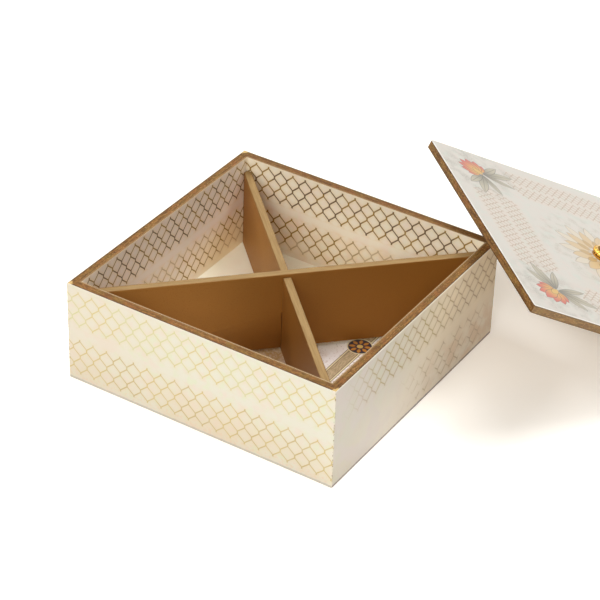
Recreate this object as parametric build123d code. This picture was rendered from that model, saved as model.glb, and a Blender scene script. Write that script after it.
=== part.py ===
from build123d import *
import math
import os

# A square keepsake box for sweets, with a lift-off lid that leans on one top corner of
# the box. Two crossing boards stand on edge inside and part it into four compartments.
# Lengths are in millimetres. The origin is the middle of the box's underside, Z is up,
# X points right and Y points back.

# Box
box_side = 203.0
box_height = 74.0
wall_board = 6.0
base_board = 5.0
print_skin = 0.4
lining_skin = 0.4

# Dividers: one runs from the front right to the back left corner, and the other, from
# the front left to the back right corner, hangs in the first one's notch
divider_thickness = 5.5
divider_height = 58.2
divider_end_gap = 0.3
divider_edge_ease = 0.4
notch_gap = 0.3
notch_shortfall = 1.15

# Lid
lid_overhang = 1.5
lid_board = 5.5
lid_corner_radius = 1.2
inner_panel_thickness = 7.5
inner_panel_gap = 0.7
inner_panel_band = 1.0

# Where the lid leans: the turn of its slope from the X axis, and the place of the
# box's corner under it, from its high edge and from its right-hand end
lid_turn = 48.17
lean_from_high_edge = 24.1
lean_from_right_end = 106.0

# Knob, with a turned foot plate under it and a screw from the lid's underside
plate_radius = 9.6
plate_thickness = 1.2
plate_ease = 0.3
knob_foot_radius = 8.8
knob_rim_radius = 10.4
knob_rim_height = 3.6
knob_band_height = 1.4
knob_shoulder_radius = 7.7
knob_groove_width = 0.9
knob_groove_depth = 1.0
knob_height = 9.4
flute_count = 24
flute_radius = 1.1
flute_depth = 0.45

# Screw and washer
screw_radius = 2.0
screw_hole_gap = 0.25
screw_fit_gap = 0.05
screw_bite = 5.5
screw_tip_gap = 0.5
screw_head_radius = 3.8
screw_head_height = 2.2
screw_head_ease = 0.5
driver_slot_width = 1.0
driver_slot_depth = 1.1
washer_radius = 4.5
washer_thickness = 0.8
sink_radius = 5.2
sink_depth = 3.6

# Small gap kept where a loose piece sits on another, and how far cuts overrun
seat_gap = 0.1
overrun = 1.0

# Places worked out from the sizes above
board_side = box_side - 2 * print_skin
board_inner = board_side - 2 * wall_board
lining_inner = board_inner - 2 * lining_skin
floor_top = base_board + lining_skin
notch_width = divider_thickness + 2 * notch_gap
notch_depth = divider_height / 2 - notch_shortfall
lower_foot = floor_top + seat_gap
upper_foot = lower_foot + divider_height - 2 * notch_depth + seat_gap
lid_side = box_side + 2 * lid_overhang
inner_panel_side = lining_inner - 2 * inner_panel_gap
inner_panel_bevel = inner_panel_thickness - inner_panel_band
plate_bottom = lid_board + print_skin
knob_bottom = plate_bottom + plate_thickness
screw_start = sink_depth - inner_panel_thickness - washer_thickness
bore_radius = screw_radius + screw_fit_gap
hole_radius = screw_radius + screw_hole_gap

LOW = (Align.CENTER, Align.CENTER, Align.MIN)
HIGH = (Align.CENTER, Align.CENTER, Align.MAX)
SIDES = {"front": 0, "right": 90, "back": 180, "left": 270}


def round_cut(radius, low, high):
    """A round cutter that overruns both ends of what it goes through."""
    return Pos(0, 0, low - overrun) * Cylinder(radius, high - low + 2 * overrun, align=LOW)


def upright_sheet(length, thickness, height, face_distance, foot, turn):
    """A sheet on edge whose outer face is face_distance from the box's middle."""
    sheet = Pos(0, thickness / 2 - face_distance, foot) * Box(length, thickness, height, align=LOW)
    return Rot(0, 0, turn) * sheet


def walls():
    """Four boards with their outer prints and inner linings; front and back run past."""
    pieces = {}
    for side, turn in SIDES.items():
        between = side in ("left", "right")
        board_length = board_inner if between else board_side
        print_length = board_side if between else box_side
        lining_length = lining_inner if between else board_inner
        lining_height = box_height - floor_top
        pieces[side + "_wall"] = upright_sheet(
            board_length, wall_board, box_height, board_side / 2, 0, turn)
        pieces[side + "_print"] = upright_sheet(
            print_length, print_skin, box_height, box_side / 2, 0, turn)
        pieces[side + "_lining"] = upright_sheet(
            lining_length, lining_skin, lining_height, board_inner / 2, floor_top, turn)
    return pieces


def base_panel():
    return Box(board_inner, board_inner, base_board, align=LOW)


def floor_lining():
    return Pos(0, 0, base_board) * Box(board_inner, board_inner, lining_skin, align=LOW)


def divider_board():
    """A board along X with its ends pointed to fit the box's square corners."""
    tip = (lining_inner / 2 - divider_end_gap) * math.sqrt(2)
    half = divider_thickness / 2
    outline = Polyline(
        (tip, 0), (tip - half, half), (half - tip, half),
        (-tip, 0), (half - tip, -half), (tip - half, -half), close=True)
    board = extrude(make_face(outline), divider_height)
    top_edges = board.faces().sort_by(Axis.Z)[-1].edges()
    return chamfer(top_edges, divider_edge_ease)


def divider_notch(align):
    return Box(notch_width, divider_thickness + overrun, notch_depth + overrun, align=align)


def lower_divider():
    """Notched from above, it stands on the floor."""
    cut = Pos(0, 0, divider_height + overrun) * divider_notch(HIGH)
    return Pos(0, 0, lower_foot) * Rot(0, 0, -45) * (divider_board() - cut)


def upper_divider():
    """Notched from below a little short of half its height, so it hangs off the floor."""
    cut = Pos(0, 0, -overrun) * divider_notch(LOW)
    return Pos(0, 0, upper_foot) * Rot(0, 0, 45) * (divider_board() - cut)


def lid_sheet(thickness):
    """A lid-sized sheet with eased corners and the screw's hole."""
    outline = RectangleRounded(lid_side, lid_side, lid_corner_radius)
    return extrude(outline - Circle(hole_radius), thickness)


def lid_panel():
    return lid_sheet(lid_board)


def lid_print():
    return Pos(0, 0, lid_board) * lid_sheet(print_skin)


def lid_inner_panel():
    """The raised panel under the lid, bevelled all round and sunk for the screw's head."""
    body = Box(inner_panel_side, inner_panel_side, inner_panel_thickness, align=HIGH)
    rim = body.faces().sort_by(Axis.Z)[0].edges()
    body = chamfer(rim, inner_panel_bevel)
    sink = Pos(0, 0, sink_depth - inner_panel_thickness)
    sink = sink * Cylinder(sink_radius, sink_depth + overrun, align=HIGH)
    return body - round_cut(hole_radius, -inner_panel_thickness, 0) - sink


def knob_plate():
    """The turned plate that the knob stands on."""
    plate = Cylinder(plate_radius, plate_thickness, align=LOW)
    plate = chamfer(plate.faces().sort_by(Axis.Z)[-1].edges(), plate_ease)
    return Pos(0, 0, plate_bottom) * (plate - round_cut(hole_radius, 0, plate_thickness))


def knob():
    """A low turned knob: a fluted rim, a narrow groove and a smooth dome."""
    dome_radius = knob_shoulder_radius - knob_groove_width
    groove_floor = knob_rim_height - knob_groove_depth
    rise = knob_height - groove_floor
    ball = (dome_radius ** 2 + rise ** 2) / (2 * rise)
    half_angle = math.acos((ball - rise) / ball) / 2
    crown = (ball * math.sin(half_angle), knob_height - ball + ball * math.cos(half_angle))
    band_foot = (knob_rim_height - knob_band_height) / 2
    rim = Polyline(
        (knob_foot_radius, 0), (knob_rim_radius, band_foot),
        (knob_rim_radius, band_foot + knob_band_height), (knob_shoulder_radius, knob_rim_height),
        (knob_shoulder_radius, groove_floor), (dome_radius, groove_floor))
    dome = ThreePointArc((dome_radius, groove_floor), crown, (0, knob_height))
    core = Polyline((0, knob_height), (0, 0), (knob_foot_radius, 0))
    profile = Plane.XZ * make_face(rim + dome + core)
    body = revolve(profile, Axis.Z)
    flute_place = knob_rim_radius + flute_radius - flute_depth
    flute = Cylinder(flute_radius, knob_height, align=LOW)
    body = body - PolarLocations(flute_place, flute_count) * flute
    bore_depth = screw_bite + screw_tip_gap
    bore = Pos(0, 0, bore_depth) * Cylinder(bore_radius, bore_depth + overrun, align=HIGH)
    return Pos(0, 0, knob_bottom) * (body - bore)


def knob_screw():
    """A slotted round screw, up from the sunk washer into the knob."""
    length = knob_bottom + screw_bite - screw_start
    shank = Cylinder(screw_radius, length, align=LOW)
    head = Cylinder(screw_head_radius, screw_head_height, align=HIGH)
    head = chamfer(head.faces().sort_by(Axis.Z)[0].edges(), screw_head_ease)
    slot = Box(2 * screw_head_radius + overrun, driver_slot_width, driver_slot_depth + overrun,
               align=HIGH)
    slot = Pos(0, 0, driver_slot_depth - screw_head_height) * slot
    return Pos(0, 0, screw_start) * (shank + head - slot)


def knob_washer():
    ring = Cylinder(washer_radius, washer_thickness, align=LOW)
    return Pos(0, 0, screw_start) * (ring - round_cut(hole_radius, 0, washer_thickness))


def lid_place():
    """The leaning lid: on the box's back right corner and on the floor at its far edge."""
    at_corner = Vector(
        lean_from_high_edge - lid_side / 2, lean_from_right_end - lid_side / 2,
        -inner_panel_thickness)
    panel_edge = inner_panel_side / 2
    far_edges = (
        (lid_side / 2, 0),
        (panel_edge, -inner_panel_band),
        (panel_edge - inner_panel_bevel, -inner_panel_thickness))
    corner = Vector(box_side / 2, box_side / 2, box_height + seat_gap)
    tilts = []
    for along, up in far_edges:
        run = along - at_corner.X
        step = up - at_corner.Z
        tilts.append(math.asin(corner.Z / math.hypot(run, step)) + math.atan2(step, run))
    tilt = min(tilts)
    turn = math.radians(lid_turn)
    slope = Vector(math.cos(turn) * math.cos(tilt), math.sin(turn) * math.cos(tilt), -math.sin(tilt))
    normal = Vector(math.cos(turn) * math.sin(tilt), math.sin(turn) * math.sin(tilt), math.cos(tilt))
    leaning = Plane(origin=(0, 0, 0), x_dir=slope, z_dir=normal)
    return Location(Plane(origin=corner - leaning.from_local_coords(at_corner),
                          x_dir=slope, z_dir=normal))


def lid_pieces():
    """The lid's pieces, made flat with the board's underside at zero, then leaned."""
    place = lid_place()
    flat = {
        "lid_panel": lid_panel(),
        "lid_print": lid_print(),
        "lid_inner_panel": lid_inner_panel(),
        "knob_plate": knob_plate(),
        "knob": knob(),
        "knob_screw": knob_screw(),
        "knob_washer": knob_washer(),
    }
    return {name: place * piece for name, piece in flat.items()}


def all_pieces():
    pieces = {"base_panel": base_panel(), "floor_lining": floor_lining()}
    pieces.update(walls())
    pieces["lower_divider"] = lower_divider()
    pieces["upper_divider"] = upper_divider()
    pieces.update(lid_pieces())
    return pieces


os.makedirs("parts", exist_ok=True)
for name, piece in all_pieces().items():
    piece.label = name
    export_step(piece, "parts/" + name + ".step")
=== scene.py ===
import math

import bmesh
import bpy
from mathutils import Matrix, Vector


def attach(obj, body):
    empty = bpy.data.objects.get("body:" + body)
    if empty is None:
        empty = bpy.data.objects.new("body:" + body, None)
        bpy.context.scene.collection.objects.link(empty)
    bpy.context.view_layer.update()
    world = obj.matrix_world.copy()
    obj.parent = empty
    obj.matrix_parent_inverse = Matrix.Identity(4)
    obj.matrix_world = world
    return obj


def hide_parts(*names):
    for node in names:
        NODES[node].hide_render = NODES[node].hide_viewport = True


# The looks of an open sweet box: two bands of gilt trellis on cream board, bronze painted
# edges, two crossing dividers and a leaning lid with a fluted brass knob.
# Places and sizes are in metres, except that the material functions and the sizes
# that they use count in millimetres.

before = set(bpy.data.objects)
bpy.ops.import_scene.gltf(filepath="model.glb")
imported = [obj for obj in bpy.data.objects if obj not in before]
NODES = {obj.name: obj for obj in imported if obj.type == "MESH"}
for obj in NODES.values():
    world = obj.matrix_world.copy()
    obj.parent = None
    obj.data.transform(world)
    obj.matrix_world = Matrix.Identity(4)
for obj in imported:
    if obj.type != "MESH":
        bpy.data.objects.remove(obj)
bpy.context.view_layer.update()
MM = 0.001
PER_METRE = 1000.0

# The camera of the photograph, fitted to the box's corners
CAMERA_AZIMUTH = math.radians(31.7172)
CAMERA_ELEVATION = math.radians(34.5176)
CAMERA_ROLL = math.radians(1.93)
CAMERA_TARGET = Vector((-25.72, 59.73, 0)) * MM
CAMERA_DISTANCE = 1572.3 * MM
CAMERA_LENS = 136.30
SENSOR_WIDTH = 36.0

# Soft far lamps: the way each shines, how wide it is in degrees, and its strength
LAMPS = {
    "front": ((0.2, 1.0, -0.7), 50, 0.95),
    "near_right": ((-0.4, 0.9, -0.7), 25, 1.0),
    "left": ((1.0, 0.1, -0.9), 18, 1.05),
    "top": ((0.0, 0.1, -1.0), 36, 0.35),
    "behind_right": ((-0.5, -0.85, -1.6), 24, 1.37),
    "behind_high": ((0.2, -0.9, -2.2), 24, 0.65)}
LAMP_COLOUR = (1.0, 0.99, 0.97)
WORLD_COLOUR = (1.0, 0.985, 0.96, 1)
WORLD_STRENGTH = 0.04

# The ground: half its width in metres, its paint, and a glow that keeps shadows pale
GROUND_HALF = 3.0
GROUND_COLOUR = (0.925, 0.92, 0.91, 1)
GLOW_COLOUR = (0.94, 0.84, 0.7, 1)
GLOW_STRENGTH = 0.3

# Sides of the box, with the axis that runs along each
SIDES = {"front": "x", "right": "y", "back": "x", "left": "y"}

# Trellis bands, in millimetres: the rise of a zigzag, the upright side between two
# zigzags, and the feet of the lower and the upper band
ROWS = 3
SPIKE = 1.3
OUTER_BANDS = {"rise": 4.75, "side": 2.05, "feet": (6.5, 43.9)}
INNER_BANDS = {"rise": 4.6, "side": 1.85, "feet": (11.95, 47.05)}
LID_BANDS = {"rise": 2.4, "side": 1.2, "feet": (58.0, 76.0)}
# A height in the plain strip between the lower and the upper band
OUTER_STRIP = 38.0
INNER_STRIP = 40.0
# How far along the lid's sides its bands run, from the sides' middle
LID_BANDS_END = 53.75

# Where each side's trellis starts along it: a cell's pitch, and the place of one cusp
OUTER_CELLS = {"front": (10.735, 4.1), "right": (10.735, 1.0),
               "back": (10.735, 4.1), "left": (10.735, 1.0)}
INNER_CELLS = {"front": (10.1, 4.2), "right": (9.95, 2.7),
               "back": (10.1, 4.2), "left": (9.95, 2.7)}
LID_CELLS = (5.6, 0.0)
# How wide a trellis's slanting lines and its upright ones are
OUTER_LINES = (0.8, 1.0)
INNER_LINES = {"front": (0.9, 1.2), "right": (0.9, 1.2),
               "back": (0.95, 1.25), "left": (0.8, 1.05)}
LID_LINES = (0.5, 0.65)
LINE_SOFTNESS = 0.12
TINT_WIDTH = 2.6

# The border printed on the box's floor: its middle line's x, half of its width and of its
# woven part's, and its medallions: the y of one, their pitch and radius, the width of their
# pale rims and the radius of their bosses
BORDER_PLACE = 41.0
BORDER_HALF = 4.9
WEAVE_HALF = 3.5
MEDALLION_PLACE = 30.0
MEDALLION_PITCH = 62.0
MEDALLION_RADIUS = 8.8
MEDALLION_RIM = 0.8
BOSS_RADIUS = 2.1
# The middle of the flecked brown cloud near the crossing
CLOUD_PLACE = (-4.0, -14.0)

# The browner, painted shade that the faces of the dividers and of the lid's inner panel have
# towards the end of their own X axes
SHADED_END_BROWNS = {
    "lower_divider": (130, 84, 30), "upper_divider": (144, 95, 35), "inner_panel": (130, 84, 30)}

# Rings of leaves and petals: their count, the turn as a share of one leaf's angle, the
# radius at which they start, their length and width, and for the lid's rings their colour
MEDALLION_PETALS = (8, 0.0, 2.6, 5.2, 3.2)
LID_RINGS = (
    (12, 0.5, 13, 26, 8.5, (214, 204, 186)),
    (12, 0.0, 11, 21, 9.0, (208, 184, 144)),
    (12, 0.5, 10, 12, 6.0, (188, 158, 108)))
# The lid's corner lotuses: how far out their feet are along the diagonal, and the turn in
# degrees, the length and the width of their leaves and petals
LOTUS_PLACE = 104
LOTUS_LEAVES = ((152, 26, 6), (118, 30, 8), (92, 24, 7))
LOTUS_PETALS = ((70, 13, 7), (46, 16, 8), (22, 17.5, 8), (0, 18, 8.5))
LOTUS_HEART = (0, 10, 6)

# The knob's outline, as (radius, height) in millimetres above its foot
KNOB_BORE = [(2.05, 6.0), (2.05, 0)]
KNOB_RIM = [(8.8, 0), (10.4, 1.1), (10.4, 2.5), (7.7, 3.6), (7.7, 2.6), (6.8, 2.6)]
# The radius of its groove, its full height and how much its rim's corners are eased
KNOB_GROOVE = 7.2
KNOB_HEIGHT = 9.4
KNOB_EASE = 0.45
DOME_STEPS = 14
# Its flutes: their count, their depth at the rim and the radius at which they start
FLUTES = 24
FLUTE_DEPTH = 0.7
FLUTE_START = 8.0
STEPS_PER_FLUTE = 8
SHARP_ANGLE = math.radians(50)

# The small bevel on the boards' edges, and how near to each other vertices are joined
EASED_WIDTH = 0.35 * MM
EASED_ANGLE = math.radians(40)
WELD_GAP = 0.01 * MM


def linear(red, green, blue):
    """A colour as it is seen on a screen, 0 to 255, as the linear colour that shaders take."""
    def one(value):
        share = value / 255
        return share / 12.92 if share <= 0.04045 else ((share + 0.055) / 1.055) ** 2.4
    return one(red), one(green), one(blue), 1.0


def frame_of(origin, first, third):
    """A matrix with its origin and its first and third axes there."""
    axes = Matrix((first, third.cross(first), third)).transposed().to_4x4()
    axes.translation = origin
    return axes


def reach(name, axis):
    """The lowest and the highest place of a CAD piece along an axis."""
    places = [vertex.co.dot(axis) for vertex in NODES[name].data.vertices]
    return min(places), max(places)


def lid_frame():
    """The leaning lid's own frame: the middle of its printed top, X down the slope."""
    top = max(NODES["lid_print"].data.polygons, key=lambda face: face.area * face.normal.z)
    normal = top.normal.copy()
    down = Vector((0, 0, -1))
    slope = (down - normal * normal.dot(down)).normalized()
    across = normal.cross(slope)
    middle = Vector()
    for axis in (slope, across):
        middle += axis * sum(reach("lid_print", axis)) / 2
    middle += normal * reach("lid_print", normal)[1]
    return frame_of(middle, slope, normal)


LID = lid_frame()
LID_SLOPE = LID.col[0].to_3d()
LID_NORMAL = LID.col[2].to_3d()
LID_TOP = reach("lid_print", LID_NORMAL)[1]
UP = Vector((0, 0, 1))
# Half of the lid's side, and how far the wall boards' faces are from the box's middle, in mm
lid_low, lid_high = reach("lid_print", LID_SLOPE)
LID_HALF = (lid_high - lid_low) / 2 * PER_METRE
BOARD_INNER, BOARD_OUTER = [place * PER_METRE for place in reach("front_wall", Vector((0, -1, 0)))]
DIVIDERS = {
    "lower_divider": frame_of(Vector(), Vector((1, -1, 0)).normalized(), UP),
    "upper_divider": frame_of(Vector(), Vector((1, 1, 0)).normalized(), UP)}


class Term:
    """A number that varies over a surface. Sums and products of terms become nodes."""

    def __init__(self, graph, socket):
        self.graph = graph
        self.socket = socket

    def __add__(self, other):
        return self.graph.math("ADD", self, other)

    def __radd__(self, other):
        return self.graph.math("ADD", other, self)

    def __sub__(self, other):
        return self.graph.math("SUBTRACT", self, other)

    def __rsub__(self, other):
        return self.graph.math("SUBTRACT", other, self)

    def __mul__(self, other):
        return self.graph.math("MULTIPLY", self, other)

    def __rmul__(self, other):
        return self.graph.math("MULTIPLY", other, self)

    def __truediv__(self, other):
        return self.graph.math("DIVIDE", self, other)

    def __neg__(self):
        return self.graph.math("MULTIPLY", self, -1.0)

    def __abs__(self):
        return self.graph.math("ABSOLUTE", self)


class Graph:
    """A material's nodes, with short calls for arithmetic, noise, mixing and bump."""

    def __init__(self, name, frame_matrix=None):
        """Places are the piece's own at rest, or seen from frame_matrix."""
        self.material = bpy.data.materials.new(name)
        self.material.use_nodes = True
        self.tree = self.material.node_tree
        self.tree.nodes.clear()
        self.output = self.tree.nodes.new("ShaderNodeOutputMaterial")
        self.shader = self.tree.nodes.new("ShaderNodeBsdfPrincipled")
        self.tree.links.new(self.shader.outputs[0], self.output.inputs["Surface"])
        self.coordinates = self.tree.nodes.new("ShaderNodeTexCoord").outputs["Object"]
        if frame_matrix:
            turn = self.tree.nodes.new("ShaderNodeMapping")
            turn.vector_type = "TEXTURE"
            turn.inputs["Location"].default_value = frame_matrix.translation
            turn.inputs["Rotation"].default_value = frame_matrix.to_euler("XYZ")
            self.tree.links.new(self.coordinates, turn.inputs["Vector"])
            self.coordinates = turn.outputs[0]

    def feed(self, socket, value):
        if isinstance(value, Term):
            self.tree.links.new(value.socket, socket)
        elif isinstance(value, bpy.types.NodeSocket):
            self.tree.links.new(value, socket)
        else:
            socket.default_value = value

    def set(self, **values):
        """Feeds the shader's sockets, named with underscores for spaces."""
        for name, value in values.items():
            self.feed(self.shader.inputs[name.replace("_", " ")], value)

    def math(self, operation, *values):
        node = self.tree.nodes.new("ShaderNodeMath")
        node.operation = operation
        for socket, value in zip(node.inputs, values):
            self.feed(socket, value)
        return Term(self, node.outputs[0])

    def least(self, first, *others):
        for other in others:
            first = self.math("MINIMUM", first, other)
        return first

    def most(self, first, *others):
        for other in others:
            first = self.math("MAXIMUM", first, other)
        return first

    def distance(self, first, second):
        """How far a place that is first and second away is, in a straight line."""
        return self.math("SQRT", first * first + second * second)

    def ramp(self, value, start, end):
        """0 before start, 1 past end, and smooth between."""
        node = self.tree.nodes.new("ShaderNodeMapRange")
        node.interpolation_type = "SMOOTHSTEP"
        self.feed(node.inputs["Value"], value)
        node.inputs["From Min"].default_value = start
        node.inputs["From Max"].default_value = end
        return Term(self, node.outputs["Result"])

    def within(self, value, limit, softness=0.1):
        """1 where value is less than limit and 0 past it, with a soft border."""
        return self.ramp(value, limit + softness, limit - softness)

    def place(self):
        """The surface's x, y and z at rest, in millimetres."""
        split = self.tree.nodes.new("ShaderNodeSeparateXYZ")
        self.tree.links.new(self.coordinates, split.inputs[0])
        return [Term(self, socket) * PER_METRE for socket in split.outputs]

    def facing_up(self):
        """How far the surface faces up in its own mesh: 1 straight up, -1 straight down."""
        source = self.tree.nodes.new("ShaderNodeTexCoord")
        node = self.tree.nodes.new("ShaderNodeVectorMath")
        node.operation = "DOT_PRODUCT"
        self.tree.links.new(source.outputs["Normal"], node.inputs[0])
        node.inputs[1].default_value = UP
        return Term(self, node.outputs["Value"])

    def noise(self, size, detail=2.0, stretch=(1, 1, 1), shift=0.0):
        """Noise about 0.5 with blots of about that size in millimetres, stretched by axis."""
        mapping = self.tree.nodes.new("ShaderNodeMapping")
        mapping.inputs["Location"].default_value = (shift, shift, shift)
        mapping.inputs["Scale"].default_value = [PER_METRE / size / s for s in stretch]
        self.tree.links.new(self.coordinates, mapping.inputs["Vector"])
        node = self.tree.nodes.new("ShaderNodeTexNoise")
        node.inputs["Scale"].default_value = 1.0
        node.inputs["Detail"].default_value = detail
        self.tree.links.new(mapping.outputs[0], node.inputs["Vector"])
        return Term(self, node.outputs[0])

    def blots(self, size, detail, start, end, shift=0.0):
        """Blots of noise: 0 where it is below start, 1 where it is above end."""
        return self.ramp(self.noise(size, detail, shift=shift), start, end)

    def mix(self, factor, first, second):
        """Colour from first to second as factor goes from 0 to 1."""
        node = self.tree.nodes.new("ShaderNodeMix")
        node.data_type = "RGBA"
        self.feed(node.inputs[0], factor)
        self.feed(node.inputs[6], first)
        self.feed(node.inputs[7], second)
        return node.outputs[2]

    def toned(self, colour, factor, screen_colour):
        """Colour, changed to a colour from the screen as factor goes from 0 to 1."""
        return self.mix(factor, colour, linear(*screen_colour))

    def bump(self, height):
        """Normals from a height in millimetres."""
        node = self.tree.nodes.new("ShaderNodeBump")
        node.inputs["Strength"].default_value = 1.0
        node.inputs["Distance"].default_value = MM
        self.feed(node.inputs["Height"], height)
        self.tree.links.new(node.outputs[0], self.shader.inputs["Normal"])


def make_camera():
    """The photograph's camera, which looks at its target from its azimuth and elevation."""
    right = Vector((math.cos(CAMERA_AZIMUTH), math.sin(CAMERA_AZIMUTH), 0))
    level_back = right.cross(UP)
    back = math.cos(CAMERA_ELEVATION) * level_back + math.sin(CAMERA_ELEVATION) * UP
    up = back.cross(right)
    turned_right = math.cos(CAMERA_ROLL) * right + math.sin(CAMERA_ROLL) * up
    turned_up = math.cos(CAMERA_ROLL) * up - math.sin(CAMERA_ROLL) * right
    data = bpy.data.cameras.new("camera")
    data.sensor_width = SENSOR_WIDTH
    data.lens = CAMERA_LENS
    camera = bpy.data.objects.new("camera", data)
    place = Matrix((turned_right, turned_up, back)).transposed().to_4x4()
    place.translation = CAMERA_TARGET + back * CAMERA_DISTANCE
    camera.matrix_world = place
    bpy.context.scene.collection.objects.link(camera)
    bpy.context.scene.camera = camera


def make_lamps():
    """Far lamps that shine along their own way, each as wide as its spread in degrees."""
    for name, (towards, spread, strength) in LAMPS.items():
        data = bpy.data.lights.new(name, "SUN")
        data.angle = math.radians(spread)
        data.energy = strength
        data.color = LAMP_COLOUR
        light = bpy.data.objects.new(name, data)
        light.rotation_mode = "QUATERNION"
        light.rotation_quaternion = Vector(towards).to_track_quat("-Z", "Y")
        bpy.context.scene.collection.objects.link(light)


def seen_ray(tree):
    """1 for rays from the camera, a mirror or glass, and 0 for light that bounces."""
    path = tree.nodes.new("ShaderNodeLightPath")
    seen = path.outputs["Is Camera Ray"]
    for kind in ("Is Glossy Ray", "Is Transmission Ray"):
        either = tree.nodes.new("ShaderNodeMath")
        either.operation = "MAXIMUM"
        tree.links.new(seen, either.inputs[0])
        tree.links.new(path.outputs[kind], either.inputs[1])
        seen = either.outputs[0]
    return seen


def make_world():
    """Soft light from all round, and plain white wherever the camera or a mirror looks."""
    world = bpy.data.worlds.new("studio")
    bpy.context.scene.world = world
    world.use_nodes = True
    tree = world.node_tree
    tree.nodes.clear()
    out = tree.nodes.new("ShaderNodeOutputWorld")
    mix = tree.nodes.new("ShaderNodeMixShader")
    soft = tree.nodes.new("ShaderNodeBackground")
    soft.inputs["Color"].default_value = WORLD_COLOUR
    soft.inputs["Strength"].default_value = WORLD_STRENGTH
    seen = tree.nodes.new("ShaderNodeBackground")
    seen.inputs["Color"].default_value = (1, 1, 1, 1)
    seen.inputs["Strength"].default_value = 1
    tree.links.new(seen_ray(tree), mix.inputs["Fac"])
    tree.links.new(soft.outputs[0], mix.inputs[1])
    tree.links.new(seen.outputs[0], mix.inputs[2])
    tree.links.new(mix.outputs[0], out.inputs["Surface"])


def make_ground():
    """A pale ground that shows white in full light and keeps warm shadows."""
    half = GROUND_HALF
    mesh = bpy.data.meshes.new("floor")
    mesh.from_pydata([(-half, -half, 0), (half, -half, 0), (half, half, 0), (-half, half, 0)],
                     [], [(0, 1, 2, 3)])
    ground = bpy.data.objects.new("floor", mesh)
    bpy.context.scene.collection.objects.link(ground)
    material = bpy.data.materials.new("floor")
    material.use_nodes = True
    tree = material.node_tree
    tree.nodes.clear()
    out = tree.nodes.new("ShaderNodeOutputMaterial")
    add = tree.nodes.new("ShaderNodeAddShader")
    diffuse = tree.nodes.new("ShaderNodeBsdfDiffuse")
    diffuse.inputs["Color"].default_value = GROUND_COLOUR
    glow = tree.nodes.new("ShaderNodeEmission")
    glow.inputs["Color"].default_value = GLOW_COLOUR
    strength = tree.nodes.new("ShaderNodeMath")
    strength.operation = "MULTIPLY"
    strength.inputs[1].default_value = GLOW_STRENGTH
    tree.links.new(seen_ray(tree), strength.inputs[0])
    tree.links.new(strength.outputs[0], glow.inputs["Strength"])
    tree.links.new(diffuse.outputs[0], add.inputs[0])
    tree.links.new(glow.outputs[0], add.inputs[1])
    tree.links.new(add.outputs[0], out.inputs["Surface"])
    ground.data.materials.append(material)


def lantern_lines(g, across, height, cells, bands, line, post):
    """How far inside the lines of two trellis bands a place is, in mm, and 0 or less
    outside. Each band is ROWS cells high, with zigzags, upright sides and end spikes.
    The slanting lines are as wide as line, and the upright ones as post."""
    pitch, first_cusp = cells
    rise, side = bands["rise"], bands["side"]
    low_foot, high_foot = bands["feet"]
    step = rise + side
    band_height = ROWS * step + rise
    middle = (low_foot + band_height + high_foot) / 2
    is_high = g.math("GREATER_THAN", height, middle)
    up = height - low_foot - is_high * (high_foot - low_foot)
    row = g.math("FLOOR", up / step)
    above = up - row * step
    phase = g.math("FRACT", (across - first_cusp) / pitch - row / 2 + (ROWS + 1) / 2) - 0.5
    near_peak = 1 - 2 * abs(phase)
    lower = abs(above - rise * near_peak)
    upper = abs(above - step - rise * (1 - near_peak))
    flatten = 1 / math.hypot(1, rise / (pitch / 2))
    slant = line / 2 - flatten * g.least(lower, upper)
    upright = post / 2 - g.most(abs(phase) * pitch, rise - above)
    inside = SPIKE - g.most(-up, up - band_height)
    return g.least(g.most(slant, upright), inside)


def trellis(g, across, height, cells, bands, widths):
    """Coverage of the trellis lines and of the soft tint beside them, from 0 to 1."""
    inside = lantern_lines(g, across, height, cells, bands, *widths)
    return g.ramp(inside, -LINE_SOFTNESS, LINE_SOFTNESS), g.ramp(inside, -TINT_WIDTH, 0)


def tinted_paper(g, ground, pink, green, size=9):
    """Paper with faint pinkish and greenish clouds of about that size."""
    paper = g.mix(g.blots(size, 2, 0.46, 0.68), linear(*ground), linear(*pink))
    return g.toned(paper, g.blots(size * 0.8, 2, 0.5, 0.72, shift=7.3), green)


def cream_paper(g, x, z, across):
    """The outer prints' paper: peach clouds low down and to the left, specks at the foot."""
    paper = tinted_paper(g, (226, 221, 203), (228, 216, 199), (222, 222, 195))
    low = g.ramp(z, 36, 10) * g.blots(30, 1, 0.4, 0.6, shift=3.0)
    paper = g.toned(paper, low * 0.5, (228, 211, 186))
    peach = g.ramp(abs(across - 15), 75, 15) * g.ramp(z, 38, 14)
    paper = g.toned(paper, peach * 0.35, (226, 204, 176))
    paper = g.toned(paper, g.ramp(x, 10, -100) * 0.35, (224, 206, 184))
    specks = g.ramp(z, 16, 4) * g.blots(2.2, 3, 0.52, 0.62, shift=2.0)
    return g.toned(paper, specks * 0.45, (230, 200, 168))


def right_paper_with_painted_light(g, paper, y, z):
    """The right side's paper: lilac near the front, tan and brown towards the back. The tan
    towards the back is painted warm light, and the pale patch low near the front is painted light.
    """
    paper = g.toned(paper, 0.5, (213, 205, 188))
    # Painted warm light: a paler, warmer tan towards the back
    warm_painted_light = g.ramp(y, -50, 50) * (0.7 + 0.6 * g.noise(10, 4, shift=8.0))
    paper = g.toned(paper, warm_painted_light * 0.85, (246, 227, 194))
    # Painted light: paler low down near the front
    pale = g.ramp(z, 55, 5) * g.ramp(y, -100, -30)
    paper = g.toned(paper, pale * 0.6, (250, 238, 220))
    brown = g.ramp(y, -10, 50) * g.ramp(z, 42, 16) * g.blots(14, 4, 0.4, 0.6, shift=5.0)
    paper = g.toned(paper, brown * 0.4, (222, 180, 136))
    lilac = g.ramp(y, 0, -70) * g.blots(20, 3, 0.4, 0.6, shift=6.0)
    return g.toned(paper, lilac * 0.5, (224, 211, 206))


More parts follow.
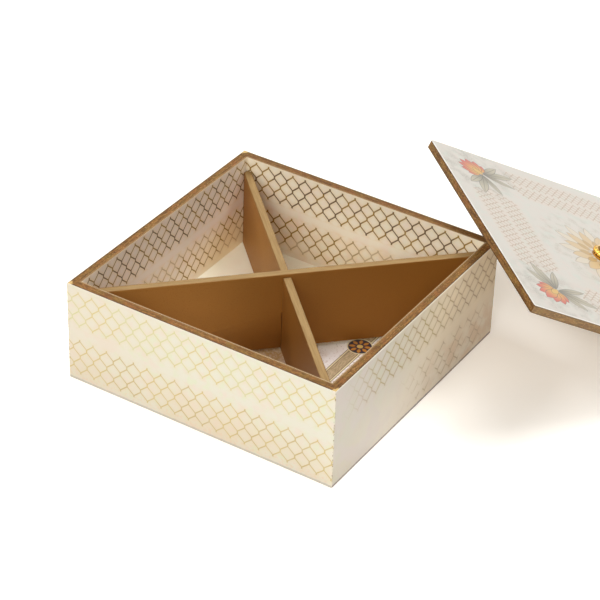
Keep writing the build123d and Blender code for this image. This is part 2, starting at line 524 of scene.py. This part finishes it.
def gilt_shown(g, is_high, y):
    """How much of the right side's gilt shows: less near the front and low down."""
    high = g.ramp(y, -96, -38) * 0.95
    low = g.ramp(y, -30, 20) * g.ramp(y, 98, 70) * g.blots(9, 2, 0.35, 0.6, shift=4.0) * 0.7
    return is_high * high + (1 - is_high) * low


def outer_print(side):
    """Varnished cream print with gilt trellis, with scuffed corners and painted shade along the
    foot; its top edge shows pale paper. On the right side less of the gilt shows towards the front
    and low down, its lines are duller, and its paper carries painted light."""
    g = Graph("outer_print_" + side)
    x, y, z = g.place()
    across = x if SIDES[side] == "x" else y
    lines, tint = trellis(g, across, z, OUTER_CELLS[side], OUTER_BANDS, OUTER_LINES)
    is_high = g.ramp(z, OUTER_STRIP - 2, OUTER_STRIP + 2)
    shown = 1.05 - 0.6 * g.noise(6, 3)
    paper = cream_paper(g, x, z, across)
    if side == "right":
        shown = shown * gilt_shown(g, is_high, y)
        paper = right_paper_with_painted_light(g, paper, y, z)
        olive = g.blots(7, 2, 0.35, 0.55, shift=1.0) * g.ramp(y, 70, 10)
        gilt = g.mix(olive, linear(170, 134, 84), linear(172, 146, 56))
        tint_colour = (206, 186, 142)
        foot_shade_colour = (116, 98, 94)
        shine = 0.1
    else:
        gilt = g.mix(is_high, linear(192, 166, 100), linear(206, 200, 138))
        gilt = g.toned(gilt, g.blots(34, 2, 0.42, 0.6, shift=1.0) * 0.8, (208, 184, 108))
        tint_colour = (222, 208, 166)
        foot_shade_colour = (190, 183, 170)
        shine = 0.3
    lines = lines * shown
    paper = g.toned(paper, tint * shown * 0.35, tint_colour)
    colour = g.mix(lines, paper, gilt)
    corner = g.ramp(g.least(abs(x), abs(y)), BOARD_OUTER - 0.3, BOARD_OUTER)
    scuffs = corner * g.blots(1.6, 3, 0.54, 0.62, shift=9.0)
    colour = g.toned(colour, scuffs * 0.7, (150, 120, 84))
    # Painted contact shade along the foot of the wall
    foot = g.ramp(z + g.noise(2.5, 3) * 1.2, 2.7, 1.6)
    colour = g.toned(colour, foot * 0.75, foot_shade_colour)
    top_edge = g.ramp(g.facing_up(), 0.6, 0.8)
    colour = g.toned(colour, top_edge, (232, 224, 206))
    g.set(Base_Color=colour, Metallic=lines * shine, Roughness=0.42 - 0.1 * lines)
    g.bump(0.02 * g.noise(1.2, 3) + 0.012 * lines)
    return g.material


def inner_print(side):
    """The linings: the same trellis in dark brown and gold on cream, more golden and fainter in
    the lower band, partly gilt ink and partly a painted reflection of the lit floor. The left
    side's ink and paper are a little greyer, and its paper is yellower low down towards the back,
    a painted warm glow reflected from the gold divider."""
    g = Graph("inner_print_" + side)
    x, y, z = g.place()
    across = x if SIDES[side] == "x" else y
    lines, tint = trellis(g, across, z, INNER_CELLS[side], INNER_BANDS, INNER_LINES[side])
    is_low = g.ramp(z, INNER_STRIP + 2, INNER_STRIP - 2)
    # The lower band's lines fade in patches: partly wear, partly painted glare off the gilt
    wear_and_glint = is_low * g.blots(26, 1, 0.42, 0.56, shift=11.0)
    lines = lines * (1.0 - 0.2 * g.noise(5, 3)) * (1 - wear_and_glint * 0.5)
    paper = tinted_paper(g, (251, 242, 220), (250, 236, 216), (246, 240, 216), 14)
    low_cloud = is_low * g.blots(12, 3, 0.4, 0.65, shift=3.0)
    paper = g.toned(paper, low_cloud * 0.4, (244, 216, 184))
    brown = (90, 58, 4)
    if side == "left":
        brown = (98, 66, 28)
        paper = g.toned(paper, 0.5, (248, 234, 230))
        # Painted warm light, reflected from the gold divider, low down towards the back
        paper = g.toned(paper, g.ramp(y, 10, 70) * g.ramp(z, 40, 20) * 0.9, (255, 240, 200))
    paper = g.toned(paper, tint * 0.4, (240, 218, 172))
    # Gold ink, with painted glints in patches and a painted reflection of the lit floor in the
    # lower band
    gold_and_glint = g.most(g.blots(14, 2, 0.44, 0.58, shift=5.0) * 0.75, is_low * 0.7)
    ink = g.mix(gold_and_glint, linear(*brown), linear(166, 128, 22))
    colour = g.mix(lines, paper, ink)
    top_edge = g.ramp(g.facing_up(), 0.6, 0.8)
    colour = g.toned(colour, top_edge, (176, 150, 116))
    g.set(Base_Color=colour, Roughness=0.5, Specular_IOR_Level=0.08)
    g.bump(0.02 * g.noise(1.2, 3) + 0.012 * lines)
    return g.material


def streaks(g, x, y, size, length, shift=0.0):
    """Noise drawn out along the nearest side of a square piece."""
    by_side = g.ramp(abs(x) - abs(y), -0.5, 0.5)
    along_x = g.noise(size, 3, (length, 1, 1), shift)
    along_y = g.noise(size, 3, (1, length, 1), shift)
    return along_x * (1 - by_side) + along_y * by_side


def brushed_brown(g, x, y):
    """Bronze-brown paint brushed along the board, with patches of a redder and of a more
    olive brown and with fine dark and pale streaks."""
    broad = g.ramp(streaks(g, x, y, 1.3, 10), 0.38, 0.62)
    paint = g.mix(broad, linear(100, 66, 28), linear(138, 97, 46))
    paint = g.toned(paint, g.blots(7, 3, 0.5, 0.66, shift=4.0) * 0.4, (146, 86, 46))
    paint = g.toned(paint, g.blots(8, 3, 0.5, 0.64, shift=8.0) * 0.4, (130, 106, 48))
    dark = g.ramp(streaks(g, x, y, 0.75, 3, 3.0), 0.5, 0.62)
    paint = g.toned(paint, dark * 0.5, (72, 46, 24))
    pale = g.ramp(streaks(g, x, y, 0.75, 2.5, 6.0), 0.55, 0.66)
    return g.toned(paint, pale * 0.5, (184, 142, 84))


def finish_board(g, x, y, paint):
    """Gives a board's edge its paint, with a dull sheen and a fine grain along it."""
    grain = streaks(g, x, y, 0.5, 12)
    g.set(Base_Color=paint, Metallic=0.15, Roughness=0.5 + 0.2 * grain, Specular_IOR_Level=0.25)
    g.bump(0.1 * grain + 0.06 * g.noise(0.6, 3))
    return g.material


def wall_edge():
    """The walls' rim: paler along the inside, dark along the outside, darker at the back with
    painted shade, and worn at the corners."""
    g = Graph("wall_edge")
    x, y = g.place()[:2]
    out = g.most(abs(x), abs(y))
    paint = brushed_brown(g, x, y)
    # Painted shade on the back rim, which lies in the lid's shadow
    back_shade = g.ramp(y, BOARD_INNER - 2, BOARD_INNER)
    paint = g.toned(paint, back_shade * 0.3, (84, 54, 30))
    inside = g.ramp(out + g.noise(2, 3), BOARD_INNER + 1.7, BOARD_INNER + 1.3)
    paint = g.toned(paint, inside * 0.5, (150, 122, 82))
    outside = g.ramp(out + 0.8 * g.noise(2, 3), BOARD_OUTER - 0.7, BOARD_OUTER - 0.1)
    paint = g.toned(paint, outside * 0.8, (66, 42, 22))
    corner = g.distance(abs(x) - BOARD_OUTER, abs(y) - BOARD_OUTER)
    wear_and_glint = g.ramp(corner + 5 * g.noise(4, 3, shift=5.0), 6.4, 5.0)
    paint = g.toned(paint, wear_and_glint * 0.8, (222, 190, 128))
    return finish_board(g, x, y, paint)


def lid_edge():
    """The lid's cut edge: dark along both of its borders, and paler on its near side, a painted
    sheen.
    """
    g = Graph("lid_edge", LID)
    x, y, z = g.place()
    low, high = [(place - LID_TOP) * PER_METRE for place in reach("lid_panel", LID_NORMAL)]
    paint = brushed_brown(g, x, y)
    wobble = 0.6 * g.noise(2, 3)
    top = g.ramp(z + wobble, high - 0.5, high - 0.1)
    bottom = g.ramp(z - wobble, low + 0.5, low + 0.1)
    paint = g.toned(paint, g.most(top, bottom) * 0.75, (62, 40, 20))
    # Painted sheen: the near side lighter
    near_side_sheen = g.ramp(-y, LID_HALF - 0.3, LID_HALF - 0.1)
    paint = g.toned(paint, near_side_sheen * 0.25, (190, 166, 132))
    return finish_board(g, x, y, paint)


def satin_gold(name, axes, half_thickness):
    """Satin gold-bronze paint, brushed along. The faces are browner than the top edge, and more so
    towards the end of the piece's X axis: painted shade, where the faces are less lit."""
    g = Graph(name, axes)
    x, y = g.place()[:2]
    speckle = g.noise(0.6, 2)
    brush = g.noise(0.9, 3, (14, 1, 3))
    cloud = g.noise(34, 2)
    paint = g.mix(g.ramp(brush, 0.35, 0.65), linear(146, 117, 74), linear(160, 131, 86))
    border = g.ramp(abs(y) + 0.5 * g.noise(2, 3), half_thickness - 0.35, half_thickness - 0.05)
    paint = g.toned(paint, border * 0.5, (128, 88, 44))
    # Painted shade: faces darker and browner than the top, more so towards the X end
    shade_to_end = g.ramp(x + 40 * cloud, -60, 90)
    face_shade_paint = g.mix(shade_to_end, linear(166, 116, 54), linear(*SHADED_END_BROWNS[name]))
    faces = g.ramp(abs(g.facing_up()), 0.7, 0.3)
    paint = g.mix(faces, paint, face_shade_paint)
    paint = g.toned(paint, g.ramp(speckle, 0.55, 0.75) * 0.25, (120, 78, 34))
    g.set(Base_Color=paint, Metallic=0.5, Roughness=0.44 + 0.12 * speckle, Specular_IOR_Level=0.3)
    g.bump(0.02 * speckle + 0.02 * brush + 0.03 * g.noise(3, 2))
    return g.material


def leaf(along, off, length, width):
    """How far inside a leaf's outline a place is, in mm. The leaf runs from 0 to length
    and is pointed at both ends."""
    share = along / length
    return 2 * width * share * (1 - share) - abs(off)


def turned(u, v, start, degrees):
    """The place (u, v) as (along, off), seen from start and turned from u towards v."""
    cosine = math.cos(math.radians(degrees))
    sine = math.sin(math.radians(degrees))
    first = u - start[0]
    second = v - start[1]
    return first * cosine + second * sine, second * cosine - first * sine


def ring_of_leaves(g, x, y, count, turn_share, start, length, width):
    """Inside of a ring of leaves that point away from the middle."""
    radius = g.distance(x, y)
    turns = g.math("ARCTAN2", y, x) / math.tau
    angle = (g.math("FRACT", turns * count + turn_share) - 0.5) * (math.tau / count)
    along = radius * g.math("COSINE", angle) - start
    return leaf(along, radius * g.math("SINE", angle), length, width)


def painted(g, colour, inside, fill, outline, line=0.4, strength=1.0):
    """Colour with a shape on it, filled and outlined."""
    colour = g.mix(g.ramp(inside, 0, 0.3) * strength, colour, outline)
    return g.mix(g.ramp(inside, line, line + 0.4) * strength, colour, fill)


def floor_paper(g, x, y):
    """The floor's paper: cream on the left and cooler, grainy and dotted on the right, with
    a flecked brown cloud near the crossing and speckles beyond the border."""
    paper = tinted_paper(g, (255, 253, 234), (254, 249, 230), (252, 251, 230), 16)
    paper = g.toned(paper, g.ramp(x - y, -20, 25), (255, 251, 250))
    dots = g.blots(1.3, 2, 0.62, 0.7, shift=4.0) * g.ramp(x, -20, 30)
    paper = g.toned(paper, dots * 0.6, (150, 116, 92))
    grain = g.blots(3, 4, 0.5, 0.62, shift=7.0) * g.ramp(x - y, -10, 60)
    paper = g.toned(paper, grain * 0.2, (206, 178, 146))
    from_cloud = g.distance(x - CLOUD_PLACE[0], y - CLOUD_PLACE[1])
    brown_cloud = g.ramp(from_cloud + 50 * g.noise(12, 4, shift=6.0), 66, 30)
    flecks = 0.35 + 1.1 * g.noise(1.5, 4, shift=12.0)
    paper = g.toned(paper, brown_cloud * flecks, (188, 152, 100))
    beyond = g.ramp(x, BORDER_PLACE + 5, BORDER_PLACE + 6)
    speckles = beyond * g.blots(1.5, 3, 0.44, 0.6, shift=9.0)
    return g.toned(paper, speckles * 0.7, (178, 144, 124))


def floor_print():
    """Pale paper with a woven border, set with dark medallions, along its right side."""
    g = Graph("floor_print")
    x, y = g.place()[:2]
    colour = floor_paper(g, x, y)
    across = x - BORDER_PLACE
    off = abs(across)
    colour = g.toned(colour, g.within(off, BORDER_HALF), (244, 232, 190))
    weave = g.ramp(g.noise(0.9, 2, (1, 4, 1)), 0.35, 0.65)
    woven = g.mix(weave, linear(172, 150, 116), linear(206, 184, 148))
    colour = g.mix(g.within(off, WEAVE_HALF - 0.1), colour, woven)
    for edge in (BORDER_HALF, WEAVE_HALF):
        colour = g.toned(colour, g.ramp(abs(off - edge), 0.45, 0.2) * 0.8, (112, 92, 70))
    along = g.math("FRACT", (y - MEDALLION_PLACE) / MEDALLION_PITCH + 0.5) - 0.5
    along = along * MEDALLION_PITCH
    radius = g.distance(across, along)
    colour = g.toned(colour, g.within(radius, MEDALLION_RADIUS), (240, 226, 184))
    colour = g.toned(colour, g.within(radius, MEDALLION_RADIUS - MEDALLION_RIM), (58, 54, 66))
    petals = ring_of_leaves(g, across, along, *MEDALLION_PETALS)
    colour = painted(g, colour, petals, linear(206, 142, 62), linear(150, 88, 40), 0.25)
    colour = g.toned(colour, g.within(radius, BOSS_RADIUS), (226, 190, 110))
    g.set(Base_Color=colour, Roughness=0.45)
    g.bump(0.02 * g.noise(1.2, 3))
    return g.material


def lotus(g, outward, aside, colour):
    """A lotus and its leaves on colour, growing outwards along the diagonal and mirrored
    across it. A place is that far outward along the diagonal and that far aside from it."""
    grey = linear(100, 97, 92)
    for degrees, length, width in LOTUS_LEAVES:
        along, off = turned(outward, aside, (LOTUS_PLACE - 2, 0.5), degrees)
        fill = g.mix(g.ramp(along / length, 0, 0.8), linear(132, 126, 110), linear(190, 182, 160))
        colour = painted(g, colour, leaf(along, off, length, width), fill, grey, 0.35, 0.85)
        vein = g.ramp(abs(off), 0.4, 0.15) * g.ramp(along, 1, 3)
        vein = vein * g.ramp(along, length - 2, length - 4)
        colour = g.mix(vein * 0.6, colour, grey)
    for degrees, length, width in LOTUS_PETALS:
        along, off = turned(outward, aside, (LOTUS_PLACE, 0), degrees)
        fill = g.mix(g.ramp(along, 3, length - 1), linear(206, 160, 90), linear(196, 96, 90))
        petal = leaf(along, off, length, width)
        colour = painted(g, colour, petal, fill, linear(140, 104, 92))
    degrees, length, width = LOTUS_HEART
    along, off = turned(outward, aside, (LOTUS_PLACE - 3, 0), degrees)
    heart = leaf(along, off, length, width)
    return painted(g, colour, heart, linear(206, 170, 98), linear(130, 104, 78))


def lid_print():
    """Pale varnished paper: leaves round the knob, trellis along the sides and a lotus
    in each corner, all mirrored about the lid's middle lines."""
    g = Graph("lid_print", LID)
    x, y = g.place()[:2]
    side_way = g.most(abs(x), abs(y))
    end_way = g.least(abs(x), abs(y))
    outward = (side_way + end_way) * math.sqrt(0.5)
    aside = (side_way - end_way) * math.sqrt(0.5)

    paper = tinted_paper(g, (206, 201, 192), (208, 199, 190), (201, 202, 192))
    lines, tint = trellis(g, end_way, side_way, LID_CELLS, LID_BANDS, LID_LINES)
    from_strip = abs(side_way - LID_BANDS["feet"][1])
    bands = g.within(end_way + 0.6 * from_strip, LID_BANDS_END, 0.25)
    paper = g.toned(paper, tint * bands * 0.25, (214, 192, 172))
    lines = lines * bands
    colour = g.toned(paper, lines * (1.0 - 0.3 * g.noise(7, 3)), (170, 142, 116))

    stipple = g.blots(1.1, 2, 0.45, 0.6, shift=2.0)
    wash = g.blots(9, 5, 0.38, 0.64, shift=6.0) * g.ramp(aside, 38, 24)
    wash = wash * g.ramp(outward, 72, 92) * g.ramp(outward, 138, 124)
    colour = g.toned(colour, wash * (0.3 + 0.4 * stipple), (164, 159, 148))
    colour = lotus(g, outward, aside, colour)

    halo = g.blots(8, 5, 0.44, 0.66, shift=9.0) * g.ramp(g.distance(x, y), 60, 44)
    colour = g.toned(colour, halo * (0.25 + 0.45 * stipple), (180, 173, 158))
    for *ring, fill in LID_RINGS:
        inside = ring_of_leaves(g, x, y, *ring)
        colour = painted(g, colour, inside, linear(*fill), linear(160, 140, 118), 0.4, 0.9)
    edge = g.ramp(side_way, LID_HALF - 1.0, LID_HALF - 0.3)
    colour = g.toned(colour, edge * 0.8, (246, 242, 234))
    g.set(Base_Color=colour, Roughness=0.35)
    g.bump(0.015 * g.noise(1.5, 3) + 0.01 * lines)
    return g.material


def brass(name, bright, dull):
    """Polished brass, duller in patches and in the groove of a turned piece."""
    g = Graph(name, LID)
    x, y, z = g.place()
    tarnish = g.ramp(abs(g.distance(x, y) - KNOB_GROOVE), 0.8, 0.4) * g.ramp(z, 6.2, 4.9)
    colour = g.mix(g.blots(3, 2, 0.35, 0.65), linear(*bright), linear(*dull))
    colour = g.toned(colour, tarnish * 0.7, (96, 66, 30))
    g.set(Base_Color=colour, Metallic=1.0, Roughness=0.16 + 0.12 * g.noise(2, 3) + 0.25 * tarnish)
    g.bump(0.01 * g.noise(0.8, 2))
    return g.material


def zinc_steel():
    g = Graph("zinc_steel")
    g.set(Base_Color=g.mix(g.noise(2, 3), linear(176, 176, 172), linear(150, 152, 154)),
          Metallic=1.0, Roughness=0.35 + 0.15 * g.noise(1, 3))
    return g.material


def eased(points, size, steps=4):
    """A line of points with its corners rounded, each by a curve that starts size before it."""
    line = [points[0]]
    for before, corner, after in zip(points, points[1:], points[2:]):
        start = corner + (before - corner).normalized() * min(size, (before - corner).length / 2)
        end = corner + (after - corner).normalized() * min(size, (after - corner).length / 2)
        for step in range(steps + 1):
            share = step / steps
            rest_share = 1 - share
            line.append(
                start * rest_share ** 2 + corner * 2 * share * rest_share + end * share ** 2)
    line.append(points[-1])
    return line


def knob_profile():
    """The knob's outline as (radius, height) in mm: up to the bore's mouth, round the rim
    and over the dome."""
    dome_radius, dome_foot = KNOB_RIM[-1]
    profile = [Vector(point) for point in KNOB_BORE]
    profile += eased([Vector(point) for point in KNOB_RIM], KNOB_EASE)
    for step in range(1, DOME_STEPS):
        angle = math.pi / 2 * step / DOME_STEPS
        rise = (KNOB_HEIGHT - dome_foot) * math.sin(angle)
        profile.append(Vector((dome_radius * math.cos(angle), dome_foot + rise)))
    return profile


def fluted(radius, angle):
    """The radius there, less what the flutes take from the rim."""
    outer = max(rim_radius for rim_radius, height in KNOB_RIM)
    share = min(max((radius - FLUTE_START) / (outer - FLUTE_START), 0), 1)
    return radius - FLUTE_DEPTH * share * (1 - abs(math.sin(angle * FLUTES / 2)))


def turned_knob():
    """The turned knob on its plate, with a fluted rim, a groove, a dome and an open bore."""
    around = FLUTES * STEPS_PER_FLUTE
    foot = reach("knob_plate", LID_NORMAL)[1] - LID_TOP
    bm = bmesh.new()
    rings = []
    for radius, height in knob_profile():
        ring = []
        for step in range(around):
            angle = math.tau * step / around
            out = fluted(radius, angle) * MM
            local = Vector((out * math.cos(angle), out * math.sin(angle), foot + height * MM))
            ring.append(bm.verts.new(LID @ local))
        rings.append(ring)
    for lower, upper in zip(rings, rings[1:]):
        for step in range(around):
            after = (step + 1) % around
            bm.faces.new((lower[step], lower[after], upper[after], upper[step]))
    for ring, height in ((rings[0], KNOB_BORE[0][1]), (rings[-1], KNOB_HEIGHT)):
        pole = bm.verts.new(LID @ Vector((0, 0, foot + height * MM)))
        for step in range(around):
            bm.faces.new((ring[step], ring[(step + 1) % around], pole))
    bmesh.ops.recalc_face_normals(bm, faces=bm.faces)
    mesh = bpy.data.meshes.new("turned_knob")
    bm.to_mesh(mesh)
    bm.free()
    for face in mesh.polygons:
        face.use_smooth = True
    mesh.set_sharp_from_angle(angle=SHARP_ANGLE)
    knob = bpy.data.objects.new("turned_knob", mesh)
    bpy.context.scene.collection.objects.link(knob)
    knob.data.materials.append(brass("knob_brass", (232, 190, 96), (212, 160, 68)))
    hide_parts("knob")
    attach(knob, "lid")


def dress(material, *names):
    for name in names:
        slots = NODES[name].data.materials
        slots.clear()
        slots.append(material)


def soften(*names):
    """Eases the edges of flat boards by a small bevel, without touching their meshes."""
    for name in names:
        weld = NODES[name].modifiers.new("weld", "WELD")
        weld.merge_threshold = WELD_GAP
        bevel = NODES[name].modifiers.new("bevel", "BEVEL")
        bevel.width = EASED_WIDTH
        bevel.segments = 2
        bevel.limit_method = "ANGLE"
        bevel.angle_limit = EASED_ANGLE
        bevel.harden_normals = True


make_camera()
make_lamps()
make_world()
make_ground()
for side in SIDES:
    dress(outer_print(side), side + "_print")
    dress(inner_print(side), side + "_lining")
walls = [side + "_wall" for side in SIDES]
dress(wall_edge(), "base_panel", *walls)
dress(lid_edge(), "lid_panel")
for name, axes in DIVIDERS.items():
    half_thickness = reach(name, axes.col[1].to_3d())[1] * PER_METRE
    dress(satin_gold(name, axes, half_thickness), name)
dress(satin_gold("inner_panel", LID, BOARD_INNER), "lid_inner_panel")
dress(floor_print(), "floor_lining")
dress(lid_print(), "lid_print")
dress(brass("plate_brass", (190, 140, 66), (150, 104, 48)), "knob_plate")
turned_knob()
dress(zinc_steel(), "knob_screw", "knob_washer")
soften("base_panel", "lid_panel", "lower_divider", "upper_divider", *walls)
bpy.context.scene.view_settings.view_transform = "Standard"
